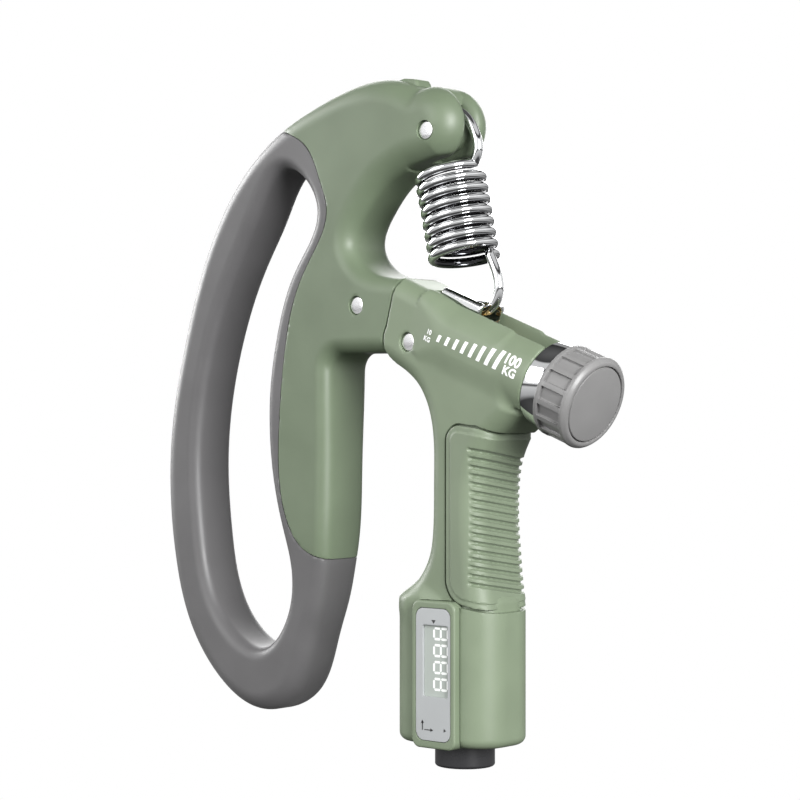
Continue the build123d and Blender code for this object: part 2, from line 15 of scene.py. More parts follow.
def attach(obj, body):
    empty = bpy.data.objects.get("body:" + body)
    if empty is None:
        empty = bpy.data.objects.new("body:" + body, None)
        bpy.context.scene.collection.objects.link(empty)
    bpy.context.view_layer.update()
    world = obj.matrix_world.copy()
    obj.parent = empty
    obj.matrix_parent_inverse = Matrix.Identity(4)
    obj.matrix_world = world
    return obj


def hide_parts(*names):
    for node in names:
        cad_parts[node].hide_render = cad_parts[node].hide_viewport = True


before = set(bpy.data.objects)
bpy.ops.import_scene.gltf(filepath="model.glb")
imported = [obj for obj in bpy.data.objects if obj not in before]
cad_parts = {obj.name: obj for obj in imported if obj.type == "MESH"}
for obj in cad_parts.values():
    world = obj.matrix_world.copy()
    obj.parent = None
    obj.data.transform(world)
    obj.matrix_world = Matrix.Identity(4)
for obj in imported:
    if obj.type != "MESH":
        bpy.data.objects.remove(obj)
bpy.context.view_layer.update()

# ---- dimensions shared with the CAD part, in mm ---------------------------------------------------

PIVOT = (-10.9, 44.6)
LINK_PIN = (-28.6, 54.4)
HEAD_PIN = (-5.2, 98.2)
TILT = math.radians(21.0)
BARREL = (-10.75, 48.5)
BARREL_R = 11.1
BARREL_END = 40.2
KNOB_START = 45.45
COIL_TOP = (-5.0, 88.3)
COIL_BOTTOM = (-0.1, 65.4)
STIRRUP_HOOK = (7.8, 54.0)
COIL_R, COIL_TURNS, WIRE_R, WIRE_SIDES = 8.1, 8, 1.28, 20
LID_X, LID_Z, LID_SCREW_Z = -0.9, -34.6, -43.0
CAP_R, CAP_TOP, CAP_BOTTOM = 7.65, -56.8, -63.2

# ---- distance fields ------------------------------------------------------------------------------


def spline(points, closed=False, step=0.8):
    """A smooth curve through a few points, as many short steps."""
    p = np.array(points, float)
    wrap = 4 if closed else 0
    if closed:
        p = np.vstack([p[-wrap:], p, p[: wrap + 1]])
    t = np.r_[0, np.cumsum(np.linalg.norm(np.diff(p, axis=0), axis=1))]
    h = np.diff(t)
    n = len(p)
    a, b = np.eye(n), np.zeros_like(p)
    for i in range(1, n - 1):
        a[i, i - 1:i + 2] = h[i - 1], 2 * (h[i - 1] + h[i]), h[i]
        b[i] = 6 * ((p[i + 1] - p[i]) / h[i] - (p[i] - p[i - 1]) / h[i - 1])
    m = np.linalg.solve(a, b)
    s = np.linspace(t[wrap], t[n - 1 - wrap], max(3, int((t[n - 1 - wrap] - t[wrap]) / step)))
    i = np.clip(np.searchsorted(t, s) - 1, 0, n - 2)
    k = h[i][:, None]
    u, w = (s - t[i])[:, None], (t[i + 1] - s)[:, None]
    return m[i] * w**3 / (6 * k) + m[i + 1] * u**3 / (6 * k) + (p[i] / k - m[i] * k / 6) * w + (
        p[i + 1] / k - m[i + 1] * k / 6) * u


def arc(a, b, c, count=24):
    """Points on the circle through a, b and c, from a to c."""
    a, b, c = (np.array(q, float) for q in (a, b, c))
    m = np.array([b - a, c - b])
    o = np.linalg.solve(m, [(b @ b - a @ a) / 2, (c @ c - b @ b) / 2])
    ang = [math.atan2(*(q - o)[::-1]) for q in (a, b, c)]
    sweep, part = (ang[2] - ang[0]) % (2 * math.pi), (ang[1] - ang[0]) % (2 * math.pi)
    if part > sweep:
        sweep -= 2 * math.pi
    t = ang[0] + np.linspace(0, 1, count) * sweep
    return o + np.hypot(*(a - o)) * np.c_[np.cos(t), np.sin(t)]


class Outline:
    """Signed distance to a closed outline in the XZ plane, negative inside it."""

    def __init__(self, *parts, cell=0.5, margin=8.0):
        p = np.vstack([np.array(q, float) for q in parts])
        p = p[np.linalg.norm(p - np.roll(p, 1, 0), axis=1) > 1e-6]
        self.cell = cell
        self.lo = p.min(0) - margin
        self.n = np.ceil((p.max(0) + margin - self.lo) / cell).astype(int) + 1
        x = self.lo[0] + cell * np.arange(self.n[0])[:, None]
        z = self.lo[1] + cell * np.arange(self.n[1])[None, :]
        best, inside = np.full(self.n, 1e9), np.zeros(self.n, bool)
        for (ax, az), (bx, bz) in zip(p, np.roll(p, -1, 0)):
            dx, dz = bx - ax, bz - az
            t = np.clip(((x - ax) * dx + (z - az) * dz) / (dx * dx + dz * dz), 0, 1)
            np.minimum(best, (x - ax - t * dx)**2 + (z - az - t * dz)**2, out=best)
            if az != bz:
                inside ^= ((az > z) != (bz > z)) & (x < ax + (z - az) * dx / dz)
        self.d = np.where(inside, -1, 1) * np.sqrt(best)

    def __call__(self, x, z):
        i = np.clip((x - self.lo[0]) / self.cell, 0, self.n[0] - 1.001)
        j = np.clip((z - self.lo[1]) / self.cell, 0, self.n[1] - 1.001)
        a, b = i.astype(int), j.astype(int)
        u, v, d = i - a, j - b, self.d
        low = d[a, b] * (1 - u) + d[a + 1, b] * u
        high = d[a, b + 1] * (1 - u) + d[a + 1, b + 1] * u
        return low * (1 - v) + high * v


def varying(spots, reach):
    """A smooth value over the XZ plane, near each spot (x, z, value) the value given there."""
    def value(x, z):
        total = weight = 1e-30
        for sx, sz, v in spots:
            w = np.exp(-((x - sx)**2 + (z - sz)**2) / (2 * reach * reach))
            total, weight = total + w * v, weight + w
        return total / weight
    return value


def round_and(a, b, r):
    """What is inside both, with the edge between them rounded by r."""
    return np.minimum(-r, np.maximum(a, b)) + np.hypot(np.maximum(r + a, 0), np.maximum(r + b, 0))


def cut(a, b, r=0.3):
    """a with b taken out and the rim of the cut rounded by r."""
    return round_and(a, -b, r)


def merge(a, b, k):
    """a and b joined with a soft fillet about k wide."""
    h = np.clip(0.5 + 0.5 * (b - a) / k, 0, 1)
    return b + (a - b) * h - k * h * (1 - h)


def box(x, y, half_x, half_y, r):
    """Distance to a rounded rectangle about the origin."""
    qx, qy = np.abs(x) - half_x + r, np.abs(y) - half_y + r
    return np.hypot(np.maximum(qx, 0), np.maximum(qy, 0)) + np.minimum(np.maximum(qx, qy), 0) - r


def barrel_frame(x, z):
    """Distance along the spring barrel's axis, and height above it."""
    dx, dz = x - BARREL[0], z - BARREL[1]
    return dx * math.cos(TILT) - dz * math.sin(TILT), dx * math.sin(TILT) + dz * math.cos(TILT)


def add_mesh(name, verts, faces, body, material, slot=None, stands_for=(), smooth=40):
    """A finished piece from vertices in mm: shaded, given its material and put on its body."""
    mesh = bpy.data.meshes.new(name)
    mesh.from_pydata((np.asarray(verts) * 0.001).tolist(), [], [list(map(int, q)) for q in faces])
    mesh.shade_smooth()
    mesh.set_sharp_from_angle(angle=math.radians(smooth))
    mesh.materials.append(material)
    obj = bpy.data.objects.new(name, mesh)
    bpy.context.scene.collection.objects.link(obj)
    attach(obj, body)
    if stands_for:
        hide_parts(*stands_for)
    return obj


def contour(f, lo, hi, cell):
    """The surface f = 0 in a box as vertices and quads, by dual contouring so that creases stay crisp."""
    lo = np.array(lo, float)
    n = np.ceil((np.array(hi) - lo) / cell).astype(int) + 1
    x, y, z = (lo[k] + cell * np.arange(n[k]) for k in range(3))
    v = np.broadcast_to(f(x[:, None, None], y[None, :, None], z[None, None, :]), n)
    inside = v < 0
    hits, normals, ids, quads = [], [], [], []
    for k in range(3):
        a, b = (k + 1) % 3, (k + 2) % 3
        first = tuple(slice(0, -1) if j == k else slice(None) for j in range(3))
        last = tuple(slice(1, None) if j == k else slice(None) for j in range(3))
        at = np.argwhere(inside[first] != inside[last])
        at = at[(at[:, a] > 0) & (at[:, a] < n[a] - 1) & (at[:, b] > 0) & (at[:, b] < n[b] - 1)]
        step = np.eye(3, dtype=int)[k]
        base = lo + cell * at
        t0, t1 = np.zeros(len(at)), np.ones(len(at))
        f0, f1 = v[tuple(at.T)].astype(float), v[tuple((at + step).T)].astype(float)
        for _ in range(4):
            t = t0 + (t1 - t0) * np.clip(f0 / (f0 - f1), 0.02, 0.98)
            p = base + cell * t[:, None] * step
            ft = f(p[:, 0], p[:, 1], p[:, 2])
            low = (ft < 0) == (f0 < 0)
            t0, f0 = np.where(low, t, t0), np.where(low, ft, f0)
            t1, f1 = np.where(low, t1, t), np.where(low, f1, ft)
        t = t0 + (t1 - t0) * np.clip(f0 / (f0 - f1), 0, 1)
        p = base + cell * t[:, None] * step
        g = np.zeros_like(p)
        for c in ((1, -1, -1), (-1, -1, 1), (-1, 1, -1), (1, 1, 1)):
            c = np.array(c, float)
            g += c * f(*(p + 0.03 * c).T)[:, None]
        g /= np.linalg.norm(g, axis=1)[:, None] + 1e-12
        corner = []
        for da, db in ((0, 0), (1, 0), (1, 1), (0, 1)):
            q = at.copy()
            q[:, a] -= da
            q[:, b] -= db
            corner.append(np.ravel_multi_index(q.T, n - 1))
        corner = np.array(corner).T
        quads.append(np.where(inside[tuple(at.T)][:, None], corner, corner[:, ::-1]))
        for j in range(4):
            hits.append(p)
            normals.append(g)
            ids.append(corner[:, j])
    hits, normals, ids = np.vstack(hits), np.vstack(normals), np.concatenate(ids)
    cells, where = np.unique(ids, return_inverse=True)
    m = len(cells)
    centre = lo + cell * (np.array(np.unravel_index(cells, n - 1)).T + 0.5)
    rel = hits - centre[where]
    count = np.bincount(where, minlength=m)

    def total(w):
        return np.bincount(where, weights=w, minlength=m)

    mean = np.array([total(rel[:, j]) / count for j in range(3)]).T
    d = (normals * rel).sum(1)
    products = [[total(normals[:, i] * normals[:, j]) for j in range(3)] for i in range(3)]
    ata = np.array(products).transpose(2, 0, 1)
    atb = np.array([total(normals[:, j] * d) for j in range(3)]).T
    weak = 0.04 * count
    ata = ata + weak[:, None, None] * np.eye(3)
    spot = np.linalg.solve(ata, (atb + weak[:, None] * mean)[:, :, None])[:, :, 0]
    spot = centre + np.clip(spot, -0.5 * cell, 0.5 * cell)
    return spot, np.searchsorted(cells, np.vstack(quads))


def moulded(name, field, lo, hi, cell, *finish):
    """A piece bounded by field = 0. finish: its body, material, slot (not used) and the CAD nodes it stands
    for.
    """
    return add_mesh(name, *contour(field, lo, hi, cell), *finish)


# ---- materials ------------------------------------------------------------------------------------


def material(name, colour, rough, metal=0.0, grain=0.35, grain_size=0.22, spread=0.06, soft=0.0,
             stretch=(1, 1, 1), depth=0.00004):
    """A surface with a fine grain in its relief, and slow changes of tone and gloss across it."""
    m = bpy.data.materials.new(name)
    m.use_nodes = True
    nodes, links = m.node_tree.nodes, m.node_tree.links
    bsdf = nodes["Principled BSDF"]
    bsdf.inputs["Metallic"].default_value = metal
    if soft:
        bsdf.inputs["Sheen Weight"].default_value = soft
        bsdf.inputs["Sheen Roughness"].default_value = 0.5
    where = nodes.new("ShaderNodeTexCoord")
    turn = nodes.new("ShaderNodeMapping")
    turn.inputs["Scale"].default_value = stretch
    links.new(where.outputs["Object"], turn.inputs["Vector"])
    fine, slow = nodes.new("ShaderNodeTexNoise"), nodes.new("ShaderNodeTexNoise")
    fine.inputs["Scale"].default_value = 1000 / grain_size
    fine.inputs["Detail"].default_value = 3
    slow.inputs["Scale"].default_value = 70
    slow.inputs["Detail"].default_value = 5
    for noise in (fine, slow):
        links.new(turn.outputs["Vector"], noise.inputs["Vector"])
    tone = nodes.new("ShaderNodeValToRGB")
    tone.color_ramp.elements[0].position, tone.color_ramp.elements[1].position = 0.3, 0.7
    tone.color_ramp.elements[0].color = [c * (1 - spread) for c in colour] + [1]
    tone.color_ramp.elements[1].color = [min(1, c * (1 + spread)) for c in colour] + [1]
    links.new(slow.outputs["Fac"], tone.inputs["Fac"])
    links.new(tone.outputs["Color"], bsdf.inputs["Base Color"])
    gloss = nodes.new("ShaderNodeMapRange")
    gloss.inputs["From Min"].default_value, gloss.inputs["From Max"].default_value = 0.3, 0.7
    gloss.inputs["To Min"].default_value = rough * 0.88
    gloss.inputs["To Max"].default_value = min(1, rough * 1.12)
    links.new(slow.outputs["Fac"], gloss.inputs["Value"])
    links.new(gloss.outputs["Result"], bsdf.inputs["Roughness"])
    relief = nodes.new("ShaderNodeBump")
    relief.inputs["Strength"].default_value = grain
    relief.inputs["Distance"].default_value = depth
    links.new(fine.outputs["Fac"], relief.inputs["Height"])
    links.new(relief.outputs["Normal"], bsdf.inputs["Normal"])
    return m


SAGE = (0.168, 0.210, 0.140)
green = material("sage_shell", SAGE, 0.42, grain=0.3)
# the lever's copy of the sage shell is darker: painted shade on the same plastic as the handle
green_painted_shade = material("sage_shell_painted_shade", (0.130, 0.167, 0.108), 0.44, grain=0.3)
green_soft = material("sage_elastomer", [c * 0.95 for c in SAGE], 0.50, grain=0.45, soft=0.08)
grey_soft = material("grey_elastomer", (0.098, 0.096, 0.098), 0.45, grain=0.45, soft=0.10)
knob_grey = material("knob_plastic", (0.200, 0.198, 0.197), 0.40, grain=0.3)
black = material("black_plastic", (0.020, 0.020, 0.022), 0.28, grain=0.25)
dark = material("dark_moulding", (0.030, 0.030, 0.033), 0.45, grain=0.3)
silver = material("silver_label", (0.41, 0.425, 0.43), 0.42, metal=0.2, grain=0.2, spread=0.03)
lcd = material("lcd_glass", (0.38, 0.415, 0.385), 0.16, grain=0.05, spread=0.03)
segment = material("lcd_segment", (0.90, 0.92, 0.90), 0.3, grain=0.05, spread=0.02)
chrome = material("chrome_plate", (0.86, 0.87, 0.88), 0.07, metal=1.0, grain=0.04, spread=0.02)
pin_steel = material("pin_chrome", (0.93, 0.93, 0.94), 0.22, metal=1.0, grain=0.08, spread=0.02)
steel = material("turned_steel", (0.55, 0.56, 0.57), 0.3, metal=1.0, grain=0.25, stretch=(1, 6, 1))
brass = material("machined_brass", (0.72, 0.52, 0.22), 0.28, metal=1.0, grain=0.25, stretch=(6, 1, 1))
board = material("solder_mask", (0.015, 0.10, 0.035), 0.3, grain=0.2)
nylon = material("natural_nylon", (0.75, 0.73, 0.66), 0.45, grain=0.2)
wire_chrome = material("chrome_wire", (0.88, 0.89, 0.90), 0.08, metal=1.0, grain=0.03, spread=0.02)
white_ink = material("white_ink", (0.90, 0.91, 0.90), 0.5, grain=0.2, spread=0.02)
black_ink = material("black_ink", (0.03, 0.03, 0.03), 0.5, grain=0.2)



def paint_gap_shade(m, name):
    """Paints shade into a material where the mesh's own value of that name is low, as between the turns of a
    coil.
    """
    nodes, links = m.node_tree.nodes, m.node_tree.links
    value, ramp, mixed = (nodes.new("ShaderNode" + k) for k in ("Attribute", "ValToRGB", "Mix"))
    value.attribute_name = name
    ramp.color_ramp.elements[0].position, ramp.color_ramp.elements[1].position = 0.15, 0.80
    ramp.color_ramp.elements[0].color = (0.09, 0.09, 0.095, 1)
    mixed.data_type, mixed.blend_type = "RGBA", "MULTIPLY"
    mixed.inputs["Factor"].default_value = 1
    base = nodes["Principled BSDF"].inputs["Base Color"]
    links.new(base.links[0].from_socket, mixed.inputs[6])
    links.new(value.outputs["Fac"], ramp.inputs["Fac"])
    links.new(ramp.outputs["Color"], mixed.inputs[7])
    links.new(mixed.outputs[2], base)


# painted shade on the spring wire where it faces the neighbouring turns
paint_gap_shade(wire_chrome, "outer_side")

# ---- outlines -------------------------------------------------------------------------------------

CROWN = [(-60, 102.8), (-50.4, 107.1), (-37.8, 111.3), (-25.6, 113.2), (-17.5, 112.3), (-10.6, 109.5)]
ARM_SIDE = [(-40.4, 37.6), (-40.6, 24), (-40.9, 8), (-42.2, -12.6)]
SEAM = [(-60, 102.8), (-47.8, 97.2), (-42.2, 87.2), (-39.8, 80), (-46.8, 65.4), (-53.2, 51.8), (-56.6, 32.5),
        (-57.9, 12), (-55, -2.4), (-50, -9.4), (-42.2, -12.6)]
RING = [(-42.2, -12.6), (-44, -22), (-47.8, -35), (-54.6, -49.6), (-68.6, -54.8), (-84, -47.8), (-95.4, -34),
        (-102.2, -14), (-104.4, 6), (-103.6, 22), (-98.2, 46), (-88.6, 72), (-74.8, 91.6), (-60, 102.8)]
HOLE = [(-57.5, 92.2), (-48.6, 87.4), (-44.9, 79.4), (-52, 65.8), (-59.6, 48), (-63, 24), (-59.6, 0),
        (-56.4, -26), (-66, -37.5), (-81.2, -30.4), (-89.6, -8), (-91.2, 12.8), (-87.6, 38), (-77.6, 63.6),
        (-68, 80)]
NECK = [(-12.6, 89.4), (-20.8, 86.4), (-29, 78.4), (-32.6, 70.4), (-28.6, 64.6), (-15, 61.2)]
PALM = [(15.9, 20.2), (13.2, 14.6), (12, 7), (11.9, -1), (12.6, -10), (13.4, -17.5), (14.4, -23.0)]


def round_pivot(angle, radius):
    """A point at that angle and distance from the pivot."""
    a = math.radians(angle)
    return PIVOT[0] + radius * math.cos(a), PIVOT[1] + radius * math.sin(a)


arm_and_ring = Outline(
    spline(ARM_SIDE[:-1] + RING + CROWN[1:]), arc((-10.6, 109.5), (2.2, 102.6), (-3, 91)), spline(NECK),
    [(-6, 57.6), (4, 52), (-2, 38), (-14, 40.8), (-19.5, 42.1)],
    arc((-35.8, 42.2), (-39.1, 40.8), (-40.4, 37.6)))
crown_tab = Outline(
    [(-24, 109.6), (-24, 112.6), (-18, 113.2), (-14.2, 112.7), (-13.4, 111.4), (-14.8, 109.8)],
    cell=0.25, margin=4)
# The parting between lever and fork runs round the pivot, so that the two slide past each other.
right_of_parting = Outline([(-12.5, 70), (-15, 61.2), (-16.4, 55.4)],
                           arc(round_pivot(150, 8.45), round_pivot(173, 8.5), round_pivot(196, 8.6)),
                           [(-23, 34), (30, 34), (30, 70)])
left_of_parting = Outline([(-13, 68), (-14.5, 61), (-15.95, 55.5)],
                          arc(round_pivot(150, 8), round_pivot(185, 8), round_pivot(220, 8)),
                          [(-24, 33), (-60, 33), (-60, 68)])
finger_hole = Outline(spline(HOLE, closed=True))
hard_side = Outline([(-75, 109.7)], spline(SEAM), [(-30, -17.6), (40, -40), (60, 140), (-75, 140)])
handle_side = Outline(
    [(-30, 67.6), (-6, 57.6), (20, 47), (23.4, 26)],
    spline([(23.4, 26), (18.4, 22.2), (15.4, 19.8), (12.6, 14.6), (11.4, 7), (11.3, -1), (12, -10),
            (12.8, -21)]),
    [(12.8, -26), (-9, -26)],
    spline([(-14.4, -20.6), (-10.6, -16.8), (-6, -10), (-4.6, -2), (-4.4, 10), (-5.6, 26), (-9.6, 33.6),
            (-14.4, 37.4), (-22, 41.2)]))
palm_side = Outline(spline(PALM), [(14.8, -30), (-20, -30), (-20, 30), (15.9, 30)])
pad_area = Outline(arc((2.2, 19.4), (3.3, 22.3), (6.2, 23.6)),
                   [(12, 23.0), (17, 21.3), (30, 17), (30, -24.6), (13, -22.7)],
                   arc((7.6, -21.6), (3.9, -19.4), (2.2, -14.5)), cell=0.25)

half_width = varying(
    [(-95, 20, 7.6), (-90, 60, 7.6), (-72, -45, 7.6), (-50, -30, 7.7), (-60, 95, 7.9), (-45, 104, 8.6),
     (-50, 10, 8.6), (-46, 40, 9.0), (-42, 70, 9.2), (-28.6, 54.4, 10.2), (-14, 50, 10.2), (-20, 40, 10.2),
     (-30, 95, 9.4), (-14, 100, 10.2), (0, 98, 10.2)], 11)
outer_round = varying(
    [(-95, 20, 5.4), (-70, -45, 5.2), (-60, 95, 5.4), (-42, 0, 3.8), (-42, 30, 3.8), (-28, 54, 4.2),
     (-32, 80, 5.6), (-5, 98, 7.4), (-30, 108, 6.4)], 12)

# ---- lever and ring -------------------------------------------------------------------------------


def loop(x, y, z):
    """The lever and the ring as one body, before the seam splits them."""
    side = np.abs(y) - half_width(x, z)
    body = round_and(arm_and_ring(x, z), side, outer_round(x, z))
    return round_and(body, -finger_hole(x, z), 3.4)


def lever_field(x, y, z):
    side = np.abs(y)
    body = round_and(loop(x, y, z), hard_side(x, z) + 0.07, 0.3)
    body = cut(body, right_of_parting(x, z), 0.35)
    # a slot with softly rounded lips lets the spring's hook over the boss round the pin
    from_pin = np.hypot(x - HEAD_PIN[0], z - HEAD_PIN[1])
    slot = np.maximum(np.minimum(from_pin - 7.7, np.maximum(-2.2 - x, 84 - z)), 4.8 - from_pin)
    body = cut(body, np.maximum(side - 1.6, slot), 2.6)
    # the crown ends in a thin tab that stands clear of the two cheeks
    body = np.minimum(body, round_and(crown_tab(x, z), side - 2.9, 0.6))
    run = (COIL_TOP[0] - COIL_BOTTOM[0], COIL_TOP[1] - COIL_BOTTOM[1])
    length = math.hypot(*run)
    cx, cz = run[0] / length, run[1] / length
    along = (x - COIL_BOTTOM[0]) * cx + (z - COIL_BOTTOM[1]) * cz
    across = (x - COIL_BOTTOM[0]) * cz - (z - COIL_BOTTOM[1]) * cx
    body = cut(body, np.maximum(np.hypot(across, y) - 10.3, along - length - 3.2), 0.5)
    for px, pz in (HEAD_PIN, LINK_PIN):
        body = cut(body, np.maximum(np.hypot(x - px, z - pz) - 2.5, 8.9 - side), 0.2)
    return body


def ring_field(x, y, z):
    return round_and(loop(x, y, z), 0.07 - hard_side(x, z), 0.3)


CELL = 0.62
# the lever takes the darker copy of the sage shell, with its painted shade
moulded("lever_shell", lever_field, (-61, -10.9, -15), (8, 10.9, 115), CELL,
        "ring_arm", green_painted_shade, "green_shell", ["arm_core"])
moulded("finger_ring", ring_field, (-105.5, -9.6, -56.5), (-36.5, 9.6, 105), CELL,
        "ring_arm", grey_soft, "soft_grey", ["ring_grip"])

# ---- handle ---------------------------------------------------------------------------------------


def handle_body(x, y, z):
    """Fork, barrel, palm grip and counter housing, before anything is cut into them."""
    along, above = barrel_frame(x, z)
    # the barrel grows out of the fork: a rounded block at the fork, a cylinder from about 12 mm on
    t = np.clip(along / 13, 0, 1)
    t = t * t * (3 - 2 * t)
    tube = box(above, y, BARREL_R - 0.4 * (1 - t), 10.2 + (BARREL_R - 10.2) * t, 4.0 + (BARREL_R - 4.0) * t)
    slab = round_and(handle_side(x, z), np.abs(y) - 10.2, 5.0)
    slab = np.maximum(slab, np.minimum(tube, above + 3))
    tube = np.maximum(round_and(tube, along - BARREL_END, 0.4), 1 - along)
    tube = np.maximum(tube, -7 - above + 0.5 * np.maximum(8 - along, 0))
    house = round_and(box(x + 0.9, y, 16.4, 11.0, 8.8), z + 19.5 - 2.6 * np.clip((x - 3) / 7, 0, 1), 4.5)
    house = round_and(house, -57.2 - z, 2.2)
    # the fillets fade out at the fork, where block and tube coincide, and under the pad
    barrel_fillet = 0.1 + 1.5 * np.clip((along - 1) / 14, 0, 1)
    house_fillet = 0.6 + 4.4 * np.clip((2 - x) / 8, 0, 1)
    body = merge(merge(slab, tube, barrel_fillet), house, house_fillet)
    return np.maximum(body, np.abs(y) - 11.1)


def handle_field(x, y, z):
    side = np.abs(y)
    along, above = barrel_frame(x, z)
    body = handle_body(x, y, z)
    solid = body
    body = cut(body, left_of_parting(x, z), 0.35)
    body = cut(body, np.maximum(side - 5.7, np.maximum(3.9 - above, 2.2 - along)), 0.5)
    body = cut(body, np.maximum(side - 5.7, np.maximum(-6.6 - above, 9.3 - along)), 0.3)
    fork = np.minimum(np.hypot(x - PIVOT[0], z - PIVOT[1]) - 7.1, box(x + 18.9, z - 46.2, 8.0, 9.9, 0.1))
    body = cut(body, np.maximum(side - 1.8, fork), 0.2)
    body = cut(body, np.maximum(np.hypot(x - PIVOT[0], z - PIVOT[1]) - 2.5, 8.9 - side), 0.2)
    body = np.maximum(body, np.minimum(solid + 1.2, 0.42 - pad_area(x, z)))
    body = cut(body, np.maximum(np.hypot(x, y) - 8.0, z + 57.7 - 2.8), 0.3)
    body = cut(body, np.maximum(box(x - 0.2, z + 39.1, 7.1, 18.6, 2.3), y + 8.4), 0.15)
    body = cut(body, np.maximum(box(x + 0.9, z + 34.6, 7.15, 11.15, 2.1), 9.4 - y), 0.15)
    return body


def pad_field(x, y, z):
    solid = round_and(palm_side(x, z), np.abs(y) - 10.9, 5.6)
    solid = round_and(solid, pad_area(x, z), 0.6)
    solid = solid + 0.22 * np.clip((pad_area(x, z) + 1.9) / 0.25, 0, 1)
    step, first = 2.08, 17.5
    low = z + 0.10 * np.maximum(x - 9.5, 0) + 0.15 * (np.minimum(y, 6.0) + 10.9)
    row = np.clip(np.round((first - low) / step), 0, 16)
    dz = low - (first - row * step)
    depth = 0.75 * np.clip(1 - (dz / 0.62)**2, 0, 1) * np.clip((x - 9.4) / 0.6, 0, 1)
    return solid + depth


moulded("handle_shell", handle_field, (-20.5, -11.9, -58.5), (33.5, 11.9, 62.5), 0.58,
        "grip_handle", green, "green_shell", ["handle_body"])
moulded("palm_pad", pad_field, (1.4, -11.6, -25), (18.2, 11.6, 24.4), 0.36,
        "grip_handle", green_soft, "green_soft", ["grip_pad"])

# ---- turned and moulded pieces --------------------------------------------------------------------


def ring_faces(rows, count):
    """Quads between rows of count vertices that each close on themselves."""
    faces = []
    for k in range(rows):
        here, beyond = k * count, (k + 1) * count
        for i in range(count):
            j = (i + 1) % count
            faces.append((here + i, here + j, beyond + j, beyond + i))
    return faces


def lathe(profile, place, count=96):
    """Vertices and faces of a profile of (radius, height) turned round the local Z axis of place."""
    ring = np.linspace(0, 2 * math.pi, count, endpoint=False)
    verts = [place @ Vector((r * math.cos(a), r * math.sin(a), h)) for r, h in profile for a in ring]
    return verts, ring_faces(len(profile) - 1, count)


def facing(spot, direction):
    """A local frame at spot whose Z axis points along direction."""
    return Matrix.Translation(Vector(spot)) @ Vector(direction).to_track_quat("Z", "Y").to_matrix().to_4x4()


def tube(path, radius, count=20):
    """Vertices and faces of a round wire along a path in 3-D, with closed, slightly rounded ends."""
    p = np.array(path, float)
    t = np.gradient(p, axis=0)
    t /= np.linalg.norm(t, axis=1)[:, None]
    side = np.cross(t[0], (0.3, 0.9, 0.2))
    verts, ring = [], np.linspace(0, 2 * math.pi, count, endpoint=False)
    size = np.full(len(p), radius)
    size[[0, -1]] = radius * 0.55
    for q, d, r in zip(p, t, size):
        side = side - d * (side @ d)
        side /= np.linalg.norm(side)
        other = np.cross(d, side)
        verts.extend(q + r * (math.cos(a) * side + math.sin(a) * other) for a in ring)
    last = (len(p) - 1) * count
    ends = [tuple(range(count))[::-1], tuple(range(last, last + count))]
    return verts, ring_faces(len(p) - 1, count) + ends


AXIS = (math.cos(TILT), 0, -math.sin(TILT))


def on_barrel(along):
    """The point on the barrel's axis that far from its start."""
    return BARREL[0] + along * AXIS[0], 0, BARREL[1] + along * AXIS[2]


for name, (px, pz), body in (("head_pin_caps", HEAD_PIN, "ring_arm"), ("link_pin_caps", LINK_PIN, "ring_arm"),
                             ("pivot_pin_caps", PIVOT, "grip_handle")):
    dome = [(2.25, 0), (2.25, 9.28), (2.16, 9.42), (1.95, 9.48), (1.0, 9.52), (0.001, 9.54)]
    both = dome[::-1] + [(r, -h) for r, h in dome[1:]]
    turned = lathe([(r, -h) for r, h in both], facing((px, 0, pz), (0, 1, 0)), 64)
    add_mesh(name, *turned, body, pin_steel, "chrome", [name[:-5]])


def knob_field(x, y, z):
    along, above = barrel_frame(x, z)
    along = along - KNOB_START
    r = np.hypot(above, y)
    turn = np.mod(np.arctan2(y, above) / (2 * math.pi) * 16, 1) - 0.5
    core = round_and(r - 10.85, np.maximum(-along, along - 9), 0.2)
    rib_side = np.abs(turn) * 2 * math.pi / 16 * r - 0.62
    ribs = round_and(np.maximum(r - 11.65, rib_side), np.abs(along - 4.6) - 4.3, 0.2)
    back_rim = round_and(r - 11.8, np.abs(along - 0.55) - 0.55, 0.25)
    front_rim = round_and(r - 11.8, np.abs(along - 9.1) - 0.9, 0.2)
    front_rim = round_and(front_rim, 0.707 * (r - 11.1 + along - 9.7), 0.25)
    body = -round_and(-np.minimum(core, np.minimum(back_rim, front_rim)), -ribs, 0.25)
    body = cut(body, np.maximum(r - 9.9, 8.85 - along), 0.25)
    return body


def barrel_box(start, end, radius):
    """Corners of a box that holds that stretch of a cylinder about the barrel's axis."""
    (x0, _, z0), (x1, _, z1) = on_barrel(start), on_barrel(end)
    lo = (min(x0, x1) - radius, -radius, min(z0, z1) - radius)
    hi = (max(x0, x1) + radius, radius, max(z0, z1) + radius)
    return lo, hi


moulded("ribbed_knob", knob_field, *barrel_box(45, 56, 12.6), 0.3,
        "knob", knob_grey, "knob_grey", ["load_knob"])
disc = [(0.001, 1.25), (9.0, 1.2), (9.45, 1.12), (9.62, 0.9), (9.65, 0.5), (9.65, 0)]
add_mesh("knob_disc", *lathe(disc[::-1], facing(on_barrel(KNOB_START + 8.8), AXIS), 128),
         "knob", knob_grey, "knob_grey", ["knob_cap"])
collar = [(8.6, 0), (10.5, 0), (10.8, 0.25), (10.8, 4.55), (10.6, 4.85), (10.3, 4.9), (8.6, 4.9), (8.6, 0)]
add_mesh("collar_ring", *lathe(collar, facing(on_barrel(BARREL_END + 0.02), AXIS), 128),
         "grip_handle", chrome, "chrome", ["chrome_collar"])

